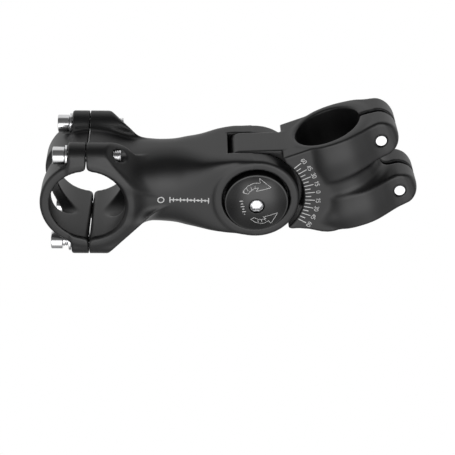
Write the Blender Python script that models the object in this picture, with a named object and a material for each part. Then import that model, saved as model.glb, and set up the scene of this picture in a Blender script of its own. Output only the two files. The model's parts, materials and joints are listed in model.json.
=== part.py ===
"""Angle-adjustable handlebar stem for a 31.8 mm bar and a 28.6 mm steerer.

Row frame: +Z is the steerer axis, the origin is on that axis at the clamp's lower face,
and the handlebar is towards -X. The forward arm hangs on an empty at the pitch pivot.
All dimensions below are in millimetres; MM turns them into metres.
"""
import math

import bmesh
import bpy
from mathutils import Matrix, Vector

MM = 0.001
GAP = 0.3                      # clearance kept between neighbouring pieces

# Handlebar clamp, about the bar's centre
BAR_DIAMETER = 31.8
BAR_CLAMP_RADIUS = 20.0
BAR_CLAMP_WIDTH = 40.4
SPLIT_HALF_GAP = 0.3
BAR_BOLT_Y = 14.6
BAR_BOLT_Z = 20.6
BAR_BOSS_RADIUS = 5.5
FACE_BOSS_LENGTH = 7.5
BODY_BOSS_LENGTH = 9.5
FACE_WINDOW_HALF = (10.3, 14.8)
POCKET_MOUTH_RADIUS = 14.8
POCKET_END_RADIUS = 8.5
POCKET_END_X = 38.0

# Steerer clamp, about the steerer axis
STEERER_DIAMETER = 28.6
STEERER_TUBE_RADIUS = 17.8
STEERER_HEIGHT = 42.0
STEERER_SLOT = 2.5
STEERER_EAR_FAR_Y = 11.5       # the face under the screw heads
STEERER_EAR_NEAR_Y = 12.4      # the face with the screws' tips
STEERER_EAR_TIP = 26.9         # how far back an ear's broad part reaches
# x and z of each bolt, the radius of its ear, and how far the ear rises above the bolt
STEERER_BOLTS = {"upper": (20.1, 33.2, 7.6, 8.5), "lower": (20.3, 7.6, 7.6, 7.6)}
SHOULDER_HALF_WIDTH = 15.3
SHOULDER_ARC_RADIUS = 20.3
SHOULDER_FRONT_X = -20.3

# Pitch pivot, and the arm that turns on it
PIVOT_X = -37.4
PIVOT_Z = 28.0
ARM_LENGTH = 71.0              # pivot to bar centre, along the arm
ARM_DROP = 1.2                 # bar centre below the arm's centre line
REST_RAISE_DEG = 21.6          # arm above square to the steerer
EAR_HALF_WIDTH = 17.0
EAR_RADIUS = 18.3
EAR_EDGE = 2.2
SLOT_HALF_WIDTH = 9.1
SLOT_END_RADIUS = 21.7
TONGUE_HALF_WIDTH = 8.5
TONGUE_RADIUS = 13.6
CAP_RECESS_RADIUS = 14.3
RECESS_FLOOR_Y = 12.6
LOCK_POCKET_RADIUS = 12.3
EAR_POCKET_Y = 10.9
TONGUE_POCKET_Y = 6.5
ARM_TEETH_Y = 9.0
TONGUE_TEETH_Y = 8.7
PIVOT_BOLT_RADIUS = 4.0
BUSH_RADIUS = 6.0

# Stock fasteners
M5_RADIUS = 2.5
M5_HEAD_RADIUS = 3.7
M5_HEAD_LENGTH = 4.9
M5_SOCKET = 4.0                # across flats
M5_HOLE_RADIUS = 2.8
WASHER_THICKNESS = 0.9
M5_WASHER_RADIUS = 4.4
SPOT_FACE_RADIUS = 4.8
BAR_SCREW_LENGTH = 23.3
LOWER_SCREWS_OUT = 2.3         # how far the lower bar screws stand out of their washers
TIP_INSET = 0.3

# Neck of the arm: distance from the bar, half width, height above and below, squareness
NECK_SECTIONS = (
    (2.0, 18.9, 19.0, 18.6, 2.6),
    (9.0, 18.8, 18.7, 18.3, 2.5),
    (16.0, 18.2, 17.8, 17.3, 2.4),
    (23.0, 16.8, 17.7, 17.0, 2.3),
    (31.0, 15.7, 17.4, 17.3, 2.3),
    (40.0, 15.6, 17.9, 17.8, 2.5),
    (49.0, 15.9, 18.8, 18.6, 3.2),
    (56.0, 16.4, 19.1, 18.5, 5.0),
    (63.0, 16.8, 18.9, 18.0, 8.0),
    (69.0, 16.9, 18.6, 17.8, 9.0),
)
NECK_STEPS = 24
ROUND = 36
SMALL_ROUND = 18

X_AXIS = Vector((1, 0, 0))
Y_AXIS = Vector((0, 1, 0))
Z_AXIS = Vector((0, 0, 1))
BAR = Vector((-ARM_LENGTH, 0, -ARM_DROP))
ORIGIN = Vector((0, 0, 0))


def clear_scene():
    for obj in list(bpy.data.objects):
        bpy.data.objects.remove(obj)


def principled(name, color, roughness, metallic):
    material = bpy.data.materials.new(name)
    material.use_nodes = True
    shader = material.node_tree.nodes["Principled BSDF"]
    shader.inputs["Base Color"].default_value = (*color, 1.0)
    shader.inputs["Roughness"].default_value = roughness
    shader.inputs["Metallic"].default_value = metallic
    return material


def add_object(name, mesh, material, parent):
    obj = bpy.data.objects.new(name, mesh)
    bpy.context.scene.collection.objects.link(obj)
    if material is None:
        obj.hide_render = True
        obj.display_type = "WIRE"
    else:
        mesh.materials.append(material)
    if parent is not None:
        obj.parent = parent
    return obj


def finish_mesh(bm, name, material, parent, sharp_deg=32.0):
    """Close, orient and scale a millimetre bmesh, and make its object."""
    bmesh.ops.remove_doubles(bm, verts=bm.verts, dist=1e-5)
    bmesh.ops.recalc_face_normals(bm, faces=bm.faces)
    bmesh.ops.scale(bm, vec=(MM, MM, MM), verts=bm.verts)
    mesh = bpy.data.meshes.new(name)
    bm.to_mesh(mesh)
    bm.free()
    mesh.shade_smooth()
    mesh.set_sharp_from_angle(angle=math.radians(sharp_deg))
    return add_object(name, mesh, material, parent)


def frame_about(axis):
    """Two directions square to an axis, to draw rings in."""
    first = Z_AXIS if abs(axis.z) < 0.5 else X_AXIS
    first = (first - axis * first.dot(axis)).normalized()
    return first, axis.cross(first)


def ring_points(centre, axis, radius, count, flats=0):
    """Points round a circle, or round a polygon whose flats are `radius` from the axis."""
    first, second = frame_about(axis)
    points = []
    for step in range(count):
        angle = math.tau * step / count
        reach = radius
        if flats:
            sector = math.tau / flats
            reach = radius / math.cos((angle + sector / 2) % sector - sector / 2)
        points.append(centre + first * (reach * math.cos(angle)) + second * (reach * math.sin(angle)))
    return points


def skin(bm, rings, closed=False):
    """Faces between rings of equal count; the ends are capped unless the rings close up."""
    rows = [[bm.verts.new(point) for point in ring] for ring in rings]
    count = len(rows[0])
    pairs = list(zip(rows, rows[1:]))
    if closed:
        pairs.append((rows[-1], rows[0]))
    else:
        bm.faces.new(rows[0])
        bm.faces.new(reversed(rows[-1]))
    for low, high in pairs:
        for i in range(count):
            j = (i + 1) % count
            bm.faces.new((low[i], low[j], high[j], high[i]))


def turned(name, base, axis, profile, material=None, parent=None, count=ROUND, closed=False):
    """Turn (radius, distance along axis[, flats]) points about an axis through `base`."""
    bm = bmesh.new()
    rings = []
    for point in profile:
        flats = point[2] if len(point) > 2 else 0
        rings.append(ring_points(base + axis * point[1], axis, point[0], count, flats))
    skin(bm, rings, closed)
    return finish_mesh(bm, name, material, parent)


def tube(name, base, axis, inner, outer, start, end, edge, material, parent, count=ROUND):
    """A plain ring or bush with small bevels on its outer corners."""
    profile = ((inner, start), (outer - edge, start), (outer, start + edge),
               (outer, end - edge), (outer - edge, end), (inner, end))
    return turned(name, base, axis, profile, material, parent, count, closed=True)


def rod(name, start, start_radius, end, end_radius, parent, count=24):
    """A tapered round bar between two points."""
    axis = (end - start).normalized()
    bm = bmesh.new()
    skin(bm, (ring_points(start, axis, start_radius, count), ring_points(end, axis, end_radius, count)))
    return finish_mesh(bm, name, None, parent)


def prism(name, outline, start, end, along, material=None, parent=None):
    """Extrude an outline along X (outline in y, z) or along Y (outline in x, z)."""
    bm = bmesh.new()
    if along == "X":
        rings = [[Vector((station, a, b)) for a, b in outline] for station in (start, end)]
    else:
        rings = [[Vector((a, station, b)) for a, b in outline] for station in (start, end)]
    skin(bm, rings)
    return finish_mesh(bm, name, material, parent)


def block(name, low, high, parent):
    outline = ((low[0], low[2]), (high[0], low[2]), (high[0], high[2]), (low[0], high[2]))
    return prism(name, outline, low[1], high[1], "Y", parent=parent)


def arc(centre, radius, start_deg, end_deg, steps):
    points = []
    for step in range(steps + 1):
        angle = math.radians(start_deg + (end_deg - start_deg) * step / steps)
        points.append((centre[0] + radius * math.cos(angle), centre[1] + radius * math.sin(angle)))
    return points


def combine(target, tool, operation):
    """Join a solid to the target, or cut it away, with an exact Boolean."""
    modifier = target.modifiers.new(tool.name, "BOOLEAN")
    modifier.operation = operation
    modifier.solver = "EXACT"
    modifier.object = tool


def join(target, *tools):
    for tool in tools:
        combine(target, tool, "UNION")


def cut(target, *tools):
    for tool in tools:
        combine(target, tool, "DIFFERENCE")


def neck_stations():
    """Neck sections at even steps, read between the stated ones."""
    first, last = NECK_SECTIONS[0][0], NECK_SECTIONS[-1][0]
    sections = []
    for step in range(NECK_STEPS + 1):
        x = first + (last - first) * step / NECK_STEPS
        index = max(i for i, row in enumerate(NECK_SECTIONS[:-1]) if row[0] <= x + 1e-9)
        low, high = NECK_SECTIONS[index], NECK_SECTIONS[index + 1]
        share = (x - low[0]) / (high[0] - low[0])
        sections.append((x, *(a + (b - a) * share for a, b in zip(low[1:], high[1:]))))
    return sections


def neck_loft(parent, material):
    """The forged neck, from the bar clamp to the ears."""
    bm = bmesh.new()
    rings = []
    for x, half_width, above, below, power in neck_stations():
        ring = []
        for step in range(ROUND):
            angle = math.tau * step / ROUND
            cosine, sine = math.cos(angle), math.sin(angle)
            y = half_width * math.copysign(abs(cosine) ** (2 / power), cosine)
            z = (above if sine > 0 else below) * math.copysign(abs(sine) ** (2 / power), sine)
            ring.append(Vector((x - ARM_LENGTH, y, z)))
        rings.append(ring)
    skin(bm, rings)
    return finish_mesh(bm, "stem_body", material, parent)


def bar_bolt_places():
    """Name, y and z of each handlebar bolt, about the bar's centre."""
    places = []
    for level, z in (("upper", BAR_BOLT_Z), ("lower", -BAR_BOLT_Z)):
        for side, y in (("near", -BAR_BOLT_Y), ("far", BAR_BOLT_Y)):
            places.append((f"{level}_{side}", y, z))
    return places


def boss(name, y, z, start, end, parent):
    """A bolt boss with its web: a round end outwards and a flat root in the clamp ring."""
    turn = math.copysign(1.0, z)
    outline = [(y + a, z + turn * b) for a, b in arc((0, 0), BAR_BOSS_RADIUS, 0, 180, 12)]
    outline += [(y - BAR_BOSS_RADIUS, turn * 10.0), (y + BAR_BOSS_RADIUS, turn * 10.0)]
    outline = [(a, b + BAR.z) for a, b in outline]
    return prism(name, outline, start + BAR.x, end + BAR.x, "X", parent=parent)


def bar_clamp_ring(name, parent, material=None):
    half = BAR_CLAMP_WIDTH / 2
    edge = 0.8
    profile = ((BAR_CLAMP_RADIUS - edge, -half), (BAR_CLAMP_RADIUS, edge - half),
               (BAR_CLAMP_RADIUS, half - edge), (BAR_CLAMP_RADIUS - edge, half))
    return turned(name, BAR, Y_AXIS, profile, material, parent, count=48)


def bar_bore(name, parent):
    radius, half = BAR_DIAMETER / 2, BAR_CLAMP_WIDTH / 2
    profile = ((radius + 1.4, -half - 1), (radius, -half + 0.4),
               (radius, half - 0.4), (radius + 1.4, half + 1))
    return turned(name, BAR, Y_AXIS, profile, parent=parent, count=48)


def bar_bolt_hole(name, y, z, parent):
    base = BAR + Vector((-12, y, z))
    hole = ((M5_HOLE_RADIUS, 0), (M5_HOLE_RADIUS, 40))
    return turned(name, base, X_AXIS, hole, parent=parent, count=SMALL_ROUND)


def make_stem_body(parent, material):
    body = neck_loft(parent, material)
    profile = ((EAR_RADIUS - EAR_EDGE, -EAR_HALF_WIDTH),)
    profile += tuple((EAR_RADIUS - EAR_EDGE + a, EAR_EDGE - EAR_HALF_WIDTH + b)
                     for a, b in arc((0, 0), EAR_EDGE, -60, 0, 2))
    profile += tuple((radius, -along) for radius, along in reversed(profile))
    join(body, turned("tool_ears", ORIGIN, Y_AXIS, profile, parent=parent, count=48))
    join(body, bar_clamp_ring("tool_body_ring", parent))
    for label, y, z in bar_bolt_places():
        join(body, boss(f"tool_body_boss_{label}", y, z, SPLIT_HALF_GAP, BODY_BOSS_LENGTH, parent))
        start = BAR + Vector((BODY_BOSS_LENGTH - 3.2, y, z + (0.95 if z > 0 else 0.1)))
        end = Vector((BAR.x + 27.0, y * 0.62, math.copysign(3.0, z)))
        join(body, rod(f"tool_gusset_{label}", start, BAR_BOSS_RADIUS - 0.05, end, 5.5, parent))
    split = block("tool_body_split", (BAR.x - 40, -40, -40), (BAR.x + SPLIT_HALF_GAP, 40, 40), parent)
    pocket = ((POCKET_MOUTH_RADIUS, 0), (POCKET_MOUTH_RADIUS, 15), (POCKET_END_RADIUS, POCKET_END_X - 2),
              (POCKET_END_RADIUS - 2, POCKET_END_X))
    cut(body, split, bar_bore("tool_body_bore", parent),
        turned("tool_pocket", BAR, X_AXIS, pocket, parent=parent, count=36))
    for label, y, z in bar_bolt_places():
        cut(body, bar_bolt_hole(f"tool_body_hole_{label}", y, z, parent))
    cut_pivot_openings(body, parent)
    return body


def cut_pivot_openings(body, parent):
    slot_end = ((SLOT_END_RADIUS, -SLOT_HALF_WIDTH), (SLOT_END_RADIUS, SLOT_HALF_WIDTH))
    slot_low = (-8, -SLOT_HALF_WIDTH, -30)
    slot_high = (30, SLOT_HALF_WIDTH, 30)
    cut(body, turned("tool_slot_end", ORIGIN, Y_AXIS, slot_end, parent=parent, count=48),
        block("tool_slot", slot_low, slot_high, parent))
    openings = (("recess", CAP_RECESS_RADIUS, RECESS_FLOOR_Y, EAR_HALF_WIDTH + 1),
                ("lock_pocket", LOCK_POCKET_RADIUS, SLOT_HALF_WIDTH - 1, EAR_POCKET_Y),
                ("bolt_hole", PIVOT_BOLT_RADIUS + GAP, SLOT_HALF_WIDTH - 1, RECESS_FLOOR_Y + 1))
    for side, sign in (("near", -1), ("far", 1)):
        for label, radius, start, end in openings:
            profile = ((radius, start), (radius, end))
            tool = turned(f"tool_{label}_{side}", ORIGIN, Y_AXIS * sign, profile, parent=parent, count=ROUND)
            cut(body, tool)


def make_faceplate(parent, material):
    plate = bar_clamp_ring("bar_faceplate", parent, material)
    for label, y, z in bar_bolt_places():
        tool = boss(f"tool_face_boss_{label}", y, z, -FACE_BOSS_LENGTH, -SPLIT_HALF_GAP, parent)
        join(plate, tool)
    split = block("tool_face_split", (BAR.x - SPLIT_HALF_GAP, -40, -40), (BAR.x + 40, 40, 40), parent)
    outline = []
    for step in range(36):
        angle = math.tau * step / 36
        outline.append((FACE_WINDOW_HALF[0] * math.cos(angle), FACE_WINDOW_HALF[1] * math.sin(angle) + BAR.z))
    window = prism("tool_window", outline, BAR.x - 30, BAR.x - 1, "X", parent=parent)
    cut(plate, split, bar_bore("tool_face_bore", parent), window)
    for label, y, z in bar_bolt_places():
        cut(plate, bar_bolt_hole(f"tool_face_hole_{label}", y, z, parent))
        seat = BAR + Vector((-FACE_BOSS_LENGTH, y, z))
        spot_face = ((SPOT_FACE_RADIUS, 0), (SPOT_FACE_RADIUS, 12))
        cut(plate, turned(f"tool_spot_face_{label}", seat, -X_AXIS, spot_face, parent=parent, count=24))
    return plate


def socket_screw(name, head_top, axis, length, material, parent):
    """M5 socket head cap screw: the head's top is at `head_top`, the shank runs along `axis`."""
    socket = M5_SOCKET / 2
    head = M5_HEAD_RADIUS
    profile = ((socket, 2.6, 6), (socket, 0.0, 6), (head - 0.4, 0.0), (head, 0.4), (head, M5_HEAD_LENGTH),
               (M5_RADIUS, M5_HEAD_LENGTH), (M5_RADIUS, M5_HEAD_LENGTH + length - 0.5),
               (M5_RADIUS - 0.5, M5_HEAD_LENGTH + length))
    return turned(name, head_top, axis, profile, material, parent, count=SMALL_ROUND)


def make_bar_fasteners(parent, steel):
    washer_start = FACE_BOSS_LENGTH + GAP
    head_seat = washer_start + WASHER_THICKNESS + GAP
    for label, y, z in bar_bolt_places():
        centre = BAR + Vector((0, y, z))
        lift = LOWER_SCREWS_OUT if z < 0 else 0.0
        tube(f"bar_clamp_washer_{label}", centre, -X_AXIS, M5_RADIUS + GAP, M5_WASHER_RADIUS, washer_start,
             washer_start + WASHER_THICKNESS, 0.15, steel, parent, SMALL_ROUND)
        head_top = centre - X_AXIS * (head_seat + M5_HEAD_LENGTH + lift)
        socket_screw(f"bar_clamp_bolt_{label}", head_top, X_AXIS, BAR_SCREW_LENGTH, steel, parent)


def steerer_shoulder_outline():
    """Side view of the shoulders that wrap round the arm's ears, in x and z."""
    centre = (PIVOT_X, PIVOT_Z)
    outline = [(0, 0), (0, STEERER_HEIGHT), (SHOULDER_FRONT_X, STEERER_HEIGHT)]
    top_deg = math.degrees(math.acos((SHOULDER_FRONT_X - PIVOT_X) / SHOULDER_ARC_RADIUS))
    outline += arc(centre, SHOULDER_ARC_RADIUS, top_deg, -67, 22)
    outline += [(-28.6, 8.2), (-25.6, 7.2), (-21.5, 5.2), (-16.8, 1.9), (-14.4, 0.8), (-11.5, 0)]
    return outline


def tongue_outline():
    """Side view of the tongue: a disc round the pivot under a raised nose, in x and z."""
    centre = (PIVOT_X, PIVOT_Z)
    nose = (PIVOT_X - 0.4, PIVOT_Z + 15.3)
    outline = [(SHOULDER_FRONT_X + 4, STEERER_HEIGHT - 1.5), (SHOULDER_FRONT_X, STEERER_HEIGHT)]
    outline += arc(nose, 4.6, 71, 161, 8)
    outline += arc(centre, TONGUE_RADIUS, 114, 270, 18)
    outline += [(-19.0, 14.4), (-12.0, 14.4), (-12.0, 38.0)]
    return outline


def ear_outline(x, z, radius, rise, root_x):
    """Side view of a clamp ear: round about its bolt, straight back into the tube."""
    lower = arc((x, z), radius, -90, 0, 8)
    upper = [(a, z + (b - z) * rise / radius) for a, b in arc((x, z), radius, 0, 90, 8)[1:]]
    return [(root_x, z - radius)] + lower + upper + [(root_x, z + rise)]


def ear_plan(name):
    """Plan view of an ear, tapering from the tube's full width to its bolt faces."""
    sides = []
    for face in (STEERER_EAR_FAR_Y, STEERER_EAR_NEAR_Y):
        sides.append([(0.0, 16.6), (8.5, 16.6), (16.2, face + 1.5), (17.2, face), (24.6, face),
                      (STEERER_EAR_TIP, face - 1.2), (STEERER_EAR_TIP + 1.4, face - 3.6)])
    outline = sides[0] + [(x, -y) for x, y in reversed(sides[1])]
    bm = bmesh.new()
    skin(bm, [[Vector((x, y, z)) for x, y in outline] for z in (-5, STEERER_HEIGHT + 5)])
    return finish_mesh(bm, name, None, None)


def make_steerer_clamp(material):
    tube_radius, height = STEERER_TUBE_RADIUS, STEERER_HEIGHT
    edge = 0.6
    profile = ((tube_radius - edge, 0), (tube_radius, edge), (tube_radius, height - edge),
               (tube_radius - edge, height))
    clamp = turned("steerer_clamp", ORIGIN, Z_AXIS, profile, material, count=56)
    join(clamp, prism("tool_shoulders", steerer_shoulder_outline(), -SHOULDER_HALF_WIDTH,
                      SHOULDER_HALF_WIDTH, "Y"))
    join(clamp, prism("tool_tongue", tongue_outline(), -TONGUE_HALF_WIDTH, TONGUE_HALF_WIDTH, "Y"))
    for label, (x, z, radius, rise) in STEERER_BOLTS.items():
        ear = prism(f"tool_ear_{label}", ear_outline(x, z, radius, rise, 2.0), -18, 18, "Y")
        combine(ear, ear_plan(f"tool_ear_plan_{label}"), "INTERSECT")
        join(clamp, ear)
    bore = STEERER_DIAMETER / 2
    bore_profile = ((bore + 1.35, -1), (bore, 0.35), (bore, height - 0.35), (bore + 1.35, height + 1))
    cut(clamp, turned("tool_steerer_bore", ORIGIN, Z_AXIS, bore_profile, count=48))
    slot = STEERER_SLOT / 2
    cut(clamp, block("tool_steerer_slot", (8, -slot, -5), (40, slot, height + 5), None))
    for label, (x, z, _, _) in STEERER_BOLTS.items():
        hole = ((M5_HOLE_RADIUS, -20), (M5_HOLE_RADIUS, 20))
        cut(clamp, turned(f"tool_steerer_hole_{label}", Vector((x, 0, z)), Y_AXIS, hole, count=SMALL_ROUND))
        spot_face = ((SPOT_FACE_RADIUS, STEERER_EAR_FAR_Y), (SPOT_FACE_RADIUS, 20))
        cut(clamp, turned(f"tool_steerer_seat_{label}", Vector((x, 0, z)), Y_AXIS, spot_face, count=24))
    pivot = Vector((PIVOT_X, 0, PIVOT_Z))
    bush_bore = ((BUSH_RADIUS + GAP, -12), (BUSH_RADIUS + GAP, 12))
    cut(clamp, turned("tool_bush_bore", pivot, Y_AXIS, bush_bore, count=32))
    for side, sign in (("near", -1), ("far", 1)):
        pocket = ((LOCK_POCKET_RADIUS, TONGUE_POCKET_Y), (LOCK_POCKET_RADIUS, 12))
        cut(clamp, turned(f"tool_tongue_pocket_{side}", pivot, Y_AXIS * sign, pocket, count=ROUND))
    return clamp


def make_steerer_fasteners(steel):
    washer_start = STEERER_EAR_FAR_Y + GAP
    head_seat = washer_start + WASHER_THICKNESS + GAP
    for label, (x, z, _, _) in STEERER_BOLTS.items():
        centre = Vector((x, 0, z))
        tube(f"steerer_washer_{label}", centre, Y_AXIS, M5_RADIUS + GAP, M5_WASHER_RADIUS, washer_start,
             washer_start + WASHER_THICKNESS, 0.15, steel, None, SMALL_ROUND)
        head_top = centre + Y_AXIS * (head_seat + M5_HEAD_LENGTH)
        length = head_seat + STEERER_EAR_NEAR_Y - TIP_INSET
        socket_screw(f"steerer_bolt_{label}", head_top, -Y_AXIS, length, steel, None)


def toothed_ring(name, axis, back, face, base, material, parent):
    """A lock ring with flat-topped radial teeth at `face` and a plain side at `back`."""
    teeth, inner, outer, depth = 12, 7.2, 11.9, 0.55
    root = face - math.copysign(depth, face - back)
    rings = []
    for step in range(4 * teeth):
        angle = math.tau * (step + 0.5) / (4 * teeth)
        first, second = frame_about(axis)
        spoke = first * math.cos(angle) + second * math.sin(angle)
        top = face if step % 4 < 2 else root
        rings.append([base + spoke * inner + axis * back, base + spoke * outer + axis * back,
                      base + spoke * outer + axis * top, base + spoke * inner + axis * top])
    bm = bmesh.new()
    skin(bm, rings, closed=True)
    return finish_mesh(bm, name, material, parent)


def make_lock_rings(arm, pivot, steel):
    for side, sign in (("near", -1), ("far", 1)):
        axis = Y_AXIS * sign
        toothed_ring(f"arm_lock_ring_{side}", axis, EAR_POCKET_Y - GAP, ARM_TEETH_Y, ORIGIN, steel, arm)
        toothed_ring(f"tongue_lock_ring_{side}", axis, TONGUE_POCKET_Y + GAP, TONGUE_TEETH_Y, pivot, steel,
                     None)


def dome_cap(name, axis, hole, material, parent):
    """A pressed dome over one end of the pivot; `hole` is the key hole's radius, or 0."""
    outer, rim_y, top_y, skirt_y = 13.3, 19.4, 23.0, RECESS_FLOOR_Y + GAP
    wall = 0.9
    inner = outer - wall
    sphere = (outer ** 2 + (top_y - rim_y) ** 2) / (2 * (top_y - rim_y))
    profile = [(inner, skirt_y), (outer, skirt_y), (outer, rim_y - 0.3)]
    radii = [outer * share for share in (0.96, 0.75, 0.5)] + [max(hole, 0.6)]
    height = top_y - sphere
    profile += [(r, height + math.sqrt(sphere ** 2 - r ** 2)) for r in radii]
    if hole:
        radii = radii[:-1] + [hole]
    inside = [(min(r, inner), height + math.sqrt(sphere ** 2 - r ** 2) - wall) for r in reversed(radii)]
    if hole:
        return turned(name, ORIGIN, axis, profile + inside, material, parent, closed=True)
    rings = profile + inside
    closing = len(profile)
    ordered = rings[closing:] + rings[:closing]
    return turned(name, ORIGIN, axis, ordered, material, parent)


def make_pivot_stack(arm, pivot, black, steel, polymer):
    near, far = -Y_AXIS, Y_AXIS
    washer = RECESS_FLOOR_Y + GAP
    seat = washer + 1.2 + GAP
    shoulder, hub_top = 20.1, 22.2
    tube("pivot_washer", ORIGIN, near, PIVOT_BOLT_RADIUS + GAP, 11.0, washer, washer + 1.2, 0.2, steel, arm)
    head = ((2.3, hub_top - 1.5, 6), (2.3, hub_top, 6), (2.75, hub_top), (2.95, hub_top - 0.2),
            (2.95, shoulder), (6.1, shoulder), (6.5, shoulder - 0.4), (6.5, seat),
            (PIVOT_BOLT_RADIUS, seat), (PIVOT_BOLT_RADIUS, -18.4), (PIVOT_BOLT_RADIUS - 0.8, -19.2))
    turned("pivot_bolt", ORIGIN, near, head, steel, arm, count=36)
    nut = ((PIVOT_BOLT_RADIUS + GAP, washer), (6.5, washer, 6), (6.5, washer + 6.4, 6),
           (PIVOT_BOLT_RADIUS + GAP, washer + 6.4))
    turned("pivot_nut", ORIGIN, far, nut, steel, arm, count=36, closed=True)
    dome_cap("pivot_cap", near, 3.3, black, arm)
    dome_cap("pivot_nut_cap", far, 0, black, arm)
    tube("pivot_bush", pivot, Y_AXIS, PIVOT_BOLT_RADIUS + GAP, BUSH_RADIUS, -6.2, 6.2, 0.3, polymer, None, 32)


def main():
    clear_scene()
    black = principled("black_anodised", (0.02, 0.02, 0.021), 0.42, 0.6)
    cap_black = principled("gloss_black_cap", (0.012, 0.012, 0.013), 0.25, 0.6)
    steel = principled("bright_steel", (0.75, 0.75, 0.76), 0.18, 1.0)
    hardened = principled("dark_steel", (0.22, 0.22, 0.23), 0.35, 1.0)
    polymer = principled("bush_polymer", (0.55, 0.52, 0.45), 0.5, 0.0)
    pivot = Vector((PIVOT_X, 0, PIVOT_Z))
    arm = bpy.data.objects.new("arm_pivot", None)
    bpy.context.scene.collection.objects.link(arm)
    arm.matrix_world = Matrix.Translation(pivot * MM) @ Matrix.Rotation(math.radians(REST_RAISE_DEG), 4, "Y")
    make_stem_body(arm, black)
    make_faceplate(arm, black)
    make_bar_fasteners(arm, steel)
    make_steerer_clamp(black)
    make_steerer_fasteners(steel)
    make_lock_rings(arm, pivot, hardened)
    make_pivot_stack(arm, pivot, cap_black, steel, polymer)
    bpy.context.view_layer.update()


main()
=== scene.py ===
"""Looks of the angle-adjustable handlebar stem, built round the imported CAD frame.

The three black castings are modelled as distance fields, in millimetres, and meshed here,
so that their fillets, facets and bulges are real geometry. Two local frames are used:
the arm frame has its origin at the pitch pivot and +X away from the handlebar, and the
row frame is the CAD model's own, with +Z along the steerer.
"""
import json
import math

import bpy
import numpy as np
from mathutils import Matrix, Vector
from mathutils.bvhtree import BVHTree


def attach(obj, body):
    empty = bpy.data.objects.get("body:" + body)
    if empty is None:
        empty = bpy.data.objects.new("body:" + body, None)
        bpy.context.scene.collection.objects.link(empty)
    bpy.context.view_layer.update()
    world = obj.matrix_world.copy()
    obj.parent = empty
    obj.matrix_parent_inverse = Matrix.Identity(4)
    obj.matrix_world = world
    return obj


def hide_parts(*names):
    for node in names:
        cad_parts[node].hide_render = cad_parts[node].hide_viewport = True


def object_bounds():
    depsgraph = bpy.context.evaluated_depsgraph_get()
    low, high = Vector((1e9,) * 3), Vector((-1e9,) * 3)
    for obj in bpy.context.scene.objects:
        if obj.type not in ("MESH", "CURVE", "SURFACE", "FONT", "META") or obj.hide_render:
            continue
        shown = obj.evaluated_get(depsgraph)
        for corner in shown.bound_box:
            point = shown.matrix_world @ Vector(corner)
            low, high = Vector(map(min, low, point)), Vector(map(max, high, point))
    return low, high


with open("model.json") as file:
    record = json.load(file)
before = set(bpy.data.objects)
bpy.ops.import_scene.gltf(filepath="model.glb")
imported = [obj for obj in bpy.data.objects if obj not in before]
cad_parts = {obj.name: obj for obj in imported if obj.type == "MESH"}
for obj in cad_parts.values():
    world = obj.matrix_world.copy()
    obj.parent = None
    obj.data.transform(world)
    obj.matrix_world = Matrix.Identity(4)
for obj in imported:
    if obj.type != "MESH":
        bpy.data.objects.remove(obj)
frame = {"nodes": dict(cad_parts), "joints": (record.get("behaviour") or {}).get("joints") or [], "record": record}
CAD_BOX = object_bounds()

MM = 0.001
JOINTS = {joint["name"]: joint for joint in frame["joints"]}
PIVOT = Vector(JOINTS["stem_pitch"]["pos_m"])
ARM_OUTWARD = Vector(JOINTS["faceplate_slide"]["axis"])
ARM_RAISE = math.atan2(ARM_OUTWARD.z, -ARM_OUTWARD.x)
ARM_TO_ROW = Matrix.Translation(PIVOT) @ Matrix.Rotation(ARM_RAISE, 4, "Y") @ Matrix.Scale(MM, 4)
ROW_TO_ROW = Matrix.Scale(MM, 4)
X_AXIS, Y_AXIS, Z_AXIS = Vector((1, 0, 0)), Vector((0, 1, 0)), Vector((0, 0, 1))
ORIGIN = Vector((0, 0, 0))

# Handlebar clamp, in the arm frame
BAR_X, BAR_Z = -71.0, -1.2
BAR = Vector((BAR_X, 0, BAR_Z))
BAR_RADIUS = 15.9
CLAMP_RADIUS = 20.0
CLAMP_HALF = 20.2
SPLIT_HALF = 0.2
BOLT_Y, BOLT_Z = 14.6, 20.6
BOSS_RADIUS, BOSS_ROOT = 5.6, 10
FACE_BOSS = 7.5
FACET_START, SLOPE_START = 14.1, 10.0
POCKET_STATIONS, POCKET_RADII, POCKET_END = (0, 15, 36), (14.8, 14.8, 8.5), 38
WINDOW_HALF_WIDTH, WINDOW_HALF_HEIGHT = 10.3, 14.8

# Ears and neck. A row of NECK is the distance from the bar's centre, the half width, the height
# above and below the middle, and how square the section is.
EAR_RADIUS, EAR_HALF, EAR_EDGE = 18.3, 17.0, 1.5
SLOT_HALF, SLOT_RADIUS, SLOT_FRONT = 9.1, 21.5, -8
NECK = np.array((
    (2, 19.2, 17.6, 17.4, 3.0), (9, 19.5, 17.2, 16.8, 3.0), (16, 19.0, 16.2, 15.7, 2.9),
    (23, 17.6, 16.5, 15.8, 2.7), (31, 15.9, 16.9, 16.9, 2.5), (40, 15.8, 17.3, 17.6, 3.0),
    (49, 16.3, 17.0, 17.4, 6.0), (56, 16.8, 17.9, 17.3, 12.0), (63, 16.9, 18.5, 17.4, 20.0),
    (69, 16.9, 18.3, 17.4, 20.0)))

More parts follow.
